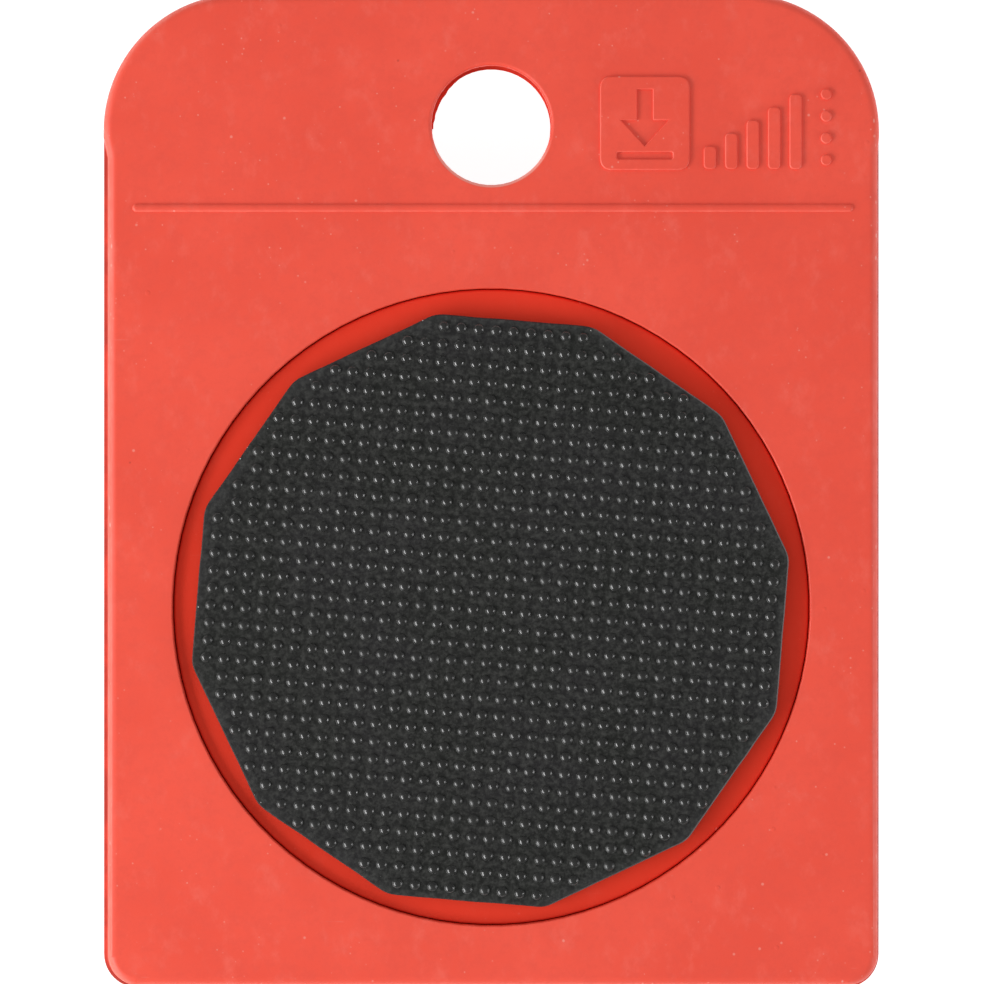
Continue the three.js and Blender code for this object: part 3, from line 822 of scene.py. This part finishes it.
def sheet_top(edge, rings):
    """The sheet's flat top with a gap for each dot: its points and faces, and the given points' numbers."""
    flat = []
    owner = []
    sides = []
    for index, loop in enumerate([edge, *rings]):
        first = len(flat)
        flat.extend(loop)
        owner.extend([index] * len(loop))
        sides.extend((first + k, first + (k + 1) % len(loop)) for k in range(len(loop)))
    points, _, triangles, origins, _, _ = delaunay_2d_cdt(flat, sides, [], 1, 1e-7)
    number_of = {origin[0]: new for new, origin in enumerate(origins) if origin}
    owner_of = [owner[origin[0]] if origin else 0 for origin in origins]
    faces = [tuple(t) for t in triangles if owner_of[t[0]] == 0 or len({owner_of[v] for v in t}) > 1]
    return points, faces, [number_of[i] for i in range(len(flat))]


def add_dome(vertices, faces, ring, place, radius, height):
    """Adds a dot's cap of a ball to the sheet, in rings from the ring of points at its foot up to its top."""
    ball = (radius ** 2 + height ** 2) / (2 * height)
    widest = math.asin(radius / ball)
    for level in range(1, DOT_RINGS):
        tilt = widest * (1 - level / DOT_RINGS)
        lift = height - ball * (1 - math.cos(tilt))
        fresh = range(len(vertices), len(vertices) + DOT_SIDES)
        vertices.extend(Vector((p.x, p.y, lift)) for p in dot_ring(place, ball * math.sin(tilt)))
        for k in range(DOT_SIDES):
            n = (k + 1) % DOT_SIDES
            faces.append((ring[k], ring[n], fresh[n], fresh[k]))
        ring = fresh
    top = len(vertices)
    vertices.append(Vector((place.x, place.y, height)))
    faces.extend((ring[k], ring[(k + 1) % DOT_SIDES], top) for k in range(DOT_SIDES))


def add_cut_edge(vertices, faces, upper, outline, thickness):
    """Adds the sheet's chamfer, sides and underside, and gives the points at the chamfer's foot."""
    count = len(outline)
    shoulder = range(len(vertices), len(vertices) + count)
    vertices.extend(Vector((p.x, p.y, -PAD_EDGE_CHAMFER)) for p in outline)
    lower = range(len(vertices), len(vertices) + count)
    vertices.extend(Vector((p.x, p.y, -thickness)) for p in outline)
    for i in range(count):
        n = (i + 1) % count
        faces.append((upper[i], shoulder[i], shoulder[n], upper[n]))
        faces.append((shoulder[i], lower[i], lower[n], shoulder[n]))
    faces.append(tuple(reversed(lower)))
    return shoulder


def dotted_pad():
    """The pad, built round its own middle with the sheet's top at height 0, and then put in its place."""
    chance = random.Random(DOT_SEED)
    outline = pad_outline()
    edge = [p * (1 - PAD_EDGE_CHAMFER / p.length) for p in outline]
    dots = strayed_dots(chance)
    points, faces, numbers = sheet_top(edge, [dot_ring(*dot) for dot in dots])
    vertices = [Vector((p.x, p.y, 0)) for p in points]
    for index, (place, radius) in enumerate(dots):
        first = len(edge) + DOT_SIDES * index
        height = DOT_HEIGHT * chance.uniform(0.9, 1.0)
        add_dome(vertices, faces, numbers[first:first + DOT_SIDES], place, radius, height)
    upper = numbers[:len(edge)]
    sheet_z = pad_hi.z - DOT_HEIGHT
    shoulder = add_cut_edge(vertices, faces, upper, outline, sheet_z - pad_lo.z)
    middle = turntable_centre + PAD_OFFSET
    mesh = mesh_of("dotted_pad", [v + Vector((middle.x, middle.y, sheet_z)) for v in vertices], faces)
    shape = bmesh.new()
    shape.from_mesh(mesh)
    bmesh.ops.recalc_face_normals(shape, faces=shape.faces)
    shape.to_mesh(mesh)
    shape.free()
    cut = mesh.attributes.new("cut_edge", "FLOAT", "POINT")
    for index in [*upper, *shoulder]:
        cut.data[index].value = 1.0
    return piece("dotted_pad", mesh, "pad_rubber", "turntable", "grip_pad")


dotted_pad()


def turning_disc():
    """The CAD disc with its rim grown to leave only a hairline gap in the well."""
    shape = bmesh.new()
    shape.from_mesh(nodes["turntable_disc"].data)
    bmesh.ops.remove_doubles(shape, verts=shape.verts, dist=WELD_DISTANCE)
    bmesh.ops.dissolve_limit(shape, angle_limit=FLAT_ANGLE, verts=shape.verts, edges=shape.edges)
    rim_starts = 0.95 * (disc_hi.x - disc_lo.x) / 2
    for vertex in shape.verts:
        out = vertex.co.xy - turntable_centre
        if out.length > rim_starts:
            grown = turntable_centre + out * (1 + DISC_RIM_GROWTH / out.length)
            vertex.co = (grown.x, grown.y, vertex.co.z)
    mesh = mesh_from("turning_disc", shape)
    return piece("turning_disc", mesh, "red_plastic", "turntable", "turntable_disc")


turning_disc()


# Wheels: a grooved tread on a dished core

def tyre_profile(radius, half):
    seat = radius - TREAD_THICKNESS
    points = [(seat, -half), (radius, -half)]
    for step in (-1, 0, 1):
        middle = step * GROOVE_SPACING
        points.append((radius, middle - GROOVE_WIDTH / 2))
        points.append((radius - GROOVE_DEPTH, middle - GROOVE_WIDTH / 4))
        points.append((radius - GROOVE_DEPTH, middle + GROOVE_WIDTH / 4))
        points.append((radius, middle + GROOVE_WIDTH / 2))
    points += [(radius, half), (seat, half)]
    return rounded_profile(points, TREAD_SHOULDER)


def core_profile(radius, half, tread_half):
    outer = radius - TREAD_THICKNESS - CORE_CLEARANCE
    rim = outer - CORE_RIM
    web = half - CORE_DISH
    one_side = [
        (outer, tread_half), (rim, tread_half), (rim, web), (CORE_HUB_RADIUS, web),
        (CORE_HUB_RADIUS, half), (CORE_BORE_RADIUS, half),
    ]
    other_side = [(r, -along) for r, along in reversed(one_side)]
    return rounded_profile(one_side + other_side, CORE_EDGE_ROUND)


def wheel(place):
    core_lo, core_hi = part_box("wheel_core_" + place)
    tyre_lo, tyre_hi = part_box("tyre_" + place)
    centre = (core_lo + core_hi) / 2
    radius = centre.z
    half = (core_hi.x - core_lo.x) / 2
    tread_half = (tyre_hi.x - tyre_lo.x) / 2
    body = "wheel_" + place
    tread = turned_along_x("tread_" + place, tyre_profile(radius, tread_half), centre, WHEEL_SEGMENTS)
    piece("tread_" + place, tread, "tyre_rubber", body, "tyre_" + place)
    core = turned_along_x("core_" + place, core_profile(radius, half, tread_half), centre, WHEEL_SEGMENTS)
    piece("core_" + place, core, "wheel_plastic", body, "wheel_core_" + place)


for place in ("front_left", "front_right", "rear_left", "rear_right"):
    wheel(place)

for name in ("pivot_washer", "axle_clip_front", "axle_clip_rear"):
    soften_node(name, SMALL_EDGE_ROUND)
for name in ("pad_adhesive", "pivot_screw", "axle_front", "axle_rear"):
    soften_node(name, 0)
for end in ("front", "rear"):
    for side in ("fore", "aft"):
        soften_node(f"clip_screw_{end}_{side}", 0)


# Floor, light and camera

def background_rays(tree):
    """1 for what the camera sees directly, mirrored or through something, 0 for light on matt surfaces."""
    path = shader_node(tree, "LightPath", {})
    seen = larger(tree, path.outputs["Is Camera Ray"], path.outputs["Is Glossy Ray"])
    return larger(tree, seen, path.outputs["Is Transmission Ray"])


def floor():
    half = FLOOR_HALF
    corners = [(-half, -half, 0), (half, -half, 0), (half, half, 0), (-half, half, 0)]
    made = bpy.data.objects.new("floor", mesh_of("floor", corners, [(0, 1, 2, 3)]))
    bpy.context.scene.collection.objects.link(made)
    made.location.z = cad_box[0].z - FLOOR_DROP
    paint, tree, surface = material("floor")
    put(tree, surface, "Base Color", colour(0.5, 0.5, 0.5))
    put(tree, surface, "Roughness", 0.9)
    put(tree, surface, "Specular IOR Level", 0.0)
    put(tree, surface, "Emission Color", colour(1, 1, 1))
    put(tree, surface, "Emission Strength", product(tree, background_rays(tree), FLOOR_GLOW))
    made.data.materials.append(paint)


def world():
    made = bpy.data.worlds.new("studio")
    bpy.context.scene.world = made
    made.use_nodes = True
    tree = made.node_tree
    place = shader_node(tree, "TexCoord", {}).outputs["Generated"]
    height = split(tree, place)["Z"]
    sky = mixed(tree, graded(tree, height, 0.0, 0.12), colour(1, 1, 1), colour(0.12, 0.12, 0.12))
    soft = mixed(tree, graded(tree, height, 0.0, 0.7), colour(0.94, 0.94, 0.94), colour(0.57, 0.57, 0.57))
    light = mixed(tree, background_rays(tree), soft, sky)
    put(tree, tree.nodes["Background"], "Color", light)


def lamp(name, bearing, elevation, distance, size, watts):
    """A soft lamp that shines on the plate. Bearings run from +X towards +Y, in degrees."""
    data = bpy.data.lights.new(name, "AREA")
    data.shape = "RECTANGLE"
    data.size, data.size_y = size
    data.energy = watts
    made = bpy.data.objects.new(name, data)
    bpy.context.scene.collection.objects.link(made)
    around = math.radians(bearing)
    above = math.radians(elevation)
    level = math.cos(above)
    towards = Vector((math.cos(around) * level, math.sin(around) * level, math.sin(above)))
    made.location = Vector((0, 0, deck_z)) + towards * distance
    made.rotation_euler = (-towards).to_track_quat("-Z", "Y").to_euler()
    made.visible_camera = False


def camera():
    data = bpy.data.cameras.new("camera")
    made = bpy.data.objects.new("camera", data)
    bpy.context.scene.collection.objects.link(made)
    seen_width = IMAGE_SIDE / PIXELS_PER_MM * MM
    data.angle = 2 * math.atan(seen_width / 2 / CAMERA_HEIGHT)
    made.location = (CAMERA_OFFSET.x, CAMERA_OFFSET.y, deck_z + CAMERA_HEIGHT)
    data.clip_start = 0.01
    bpy.context.scene.camera = made


floor()
world()
lamp("key", bearing=203, elevation=27, distance=0.55, size=(0.55, 0.19), watts=2.35)
lamp("fill", bearing=-10, elevation=16, distance=0.55, size=(0.25, 0.1), watts=0.5)
camera()
bpy.context.scene.view_settings.view_transform = "Standard"
